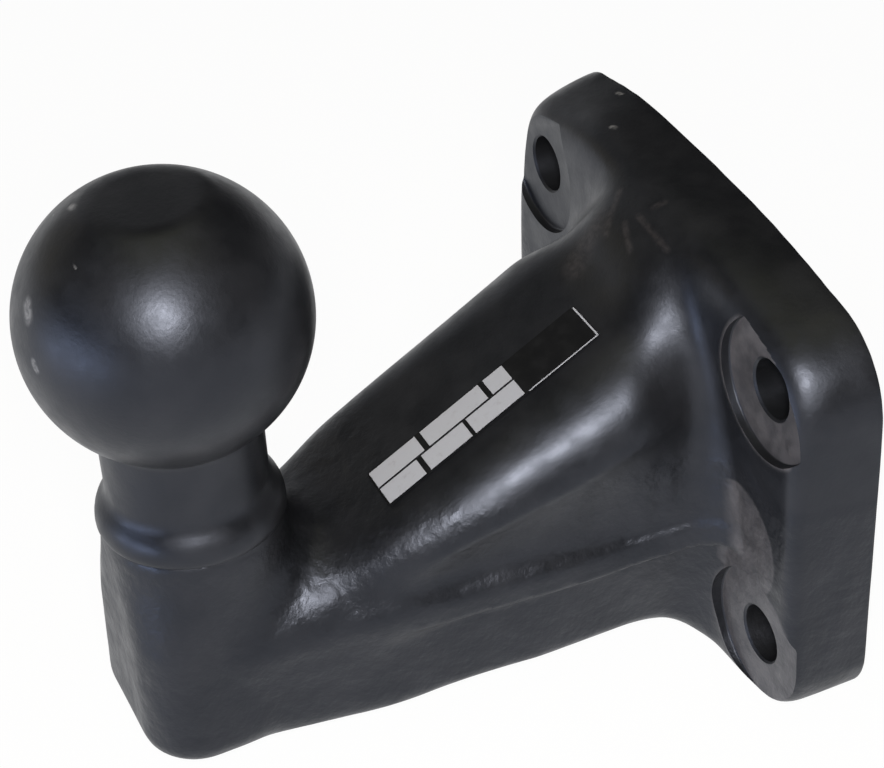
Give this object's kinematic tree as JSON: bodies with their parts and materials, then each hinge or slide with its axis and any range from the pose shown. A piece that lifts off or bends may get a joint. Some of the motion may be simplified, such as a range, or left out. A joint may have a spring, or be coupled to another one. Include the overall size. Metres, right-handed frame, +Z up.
{
  "type": "flange tow ball",
  "caption": "Forged black towing ball on an upright neck, with a wedge arm that widens into a thick flat flange drilled for bolts with machined round seats, and a small label.",
  "frame": {"origin": "centre of the bolt-hole pattern on the flat rear face", "axes": "+Y out of the rear face, toward the vehicle's bracket; +Z up along the ball's axis; the ball hangs out toward -Y"},
  "size_m": [0.1084, 0.1308, 0.1159],
  "materials": {
    "black_paint": "satin",
    "label_foil": "satin"
  },
  "bodies": {
    "root": {"forged_body": "black_paint", "rating_label": "label_foil"}
  },
  "joints": []
}
